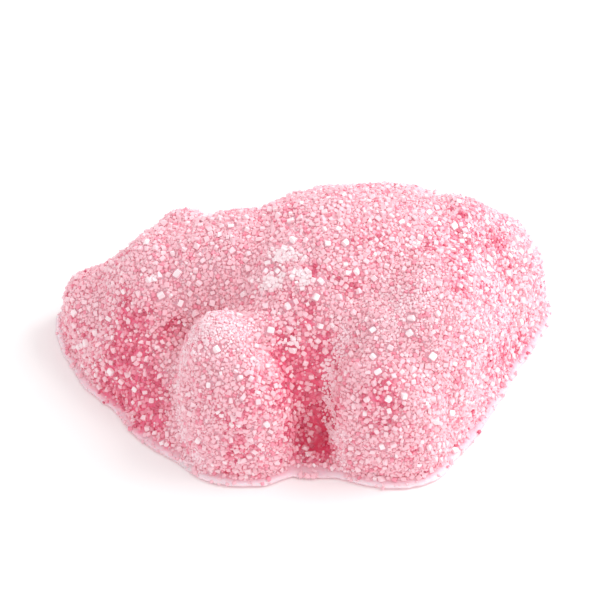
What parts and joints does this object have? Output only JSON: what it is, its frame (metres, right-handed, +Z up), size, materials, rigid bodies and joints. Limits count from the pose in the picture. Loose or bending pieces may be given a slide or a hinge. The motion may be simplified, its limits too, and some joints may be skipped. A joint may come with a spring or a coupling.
{
  "type": "sour gummy pig",
  "caption": "Moulded jelly pig lying on its flat back, with snout, ear, legs and round haunch in relief, coated all over in coarse sour sugar.",
  "frame": {"origin": "centre of the bounding box's base, on the flat moulded face", "axes": "+X from snout to rump, +Y from feet to back, +Z up out of the flat face, through the pig's thickness"},
  "size_m": [0.034, 0.0218, 0.0132],
  "materials": {
    "sugared_jelly": "pale pink jelly, frosted with fine sugar and sparse glassy crystals"
  },
  "bodies": {
    "root": {"gummy_pig": "sugared_jelly"}
  },
  "joints": []
}
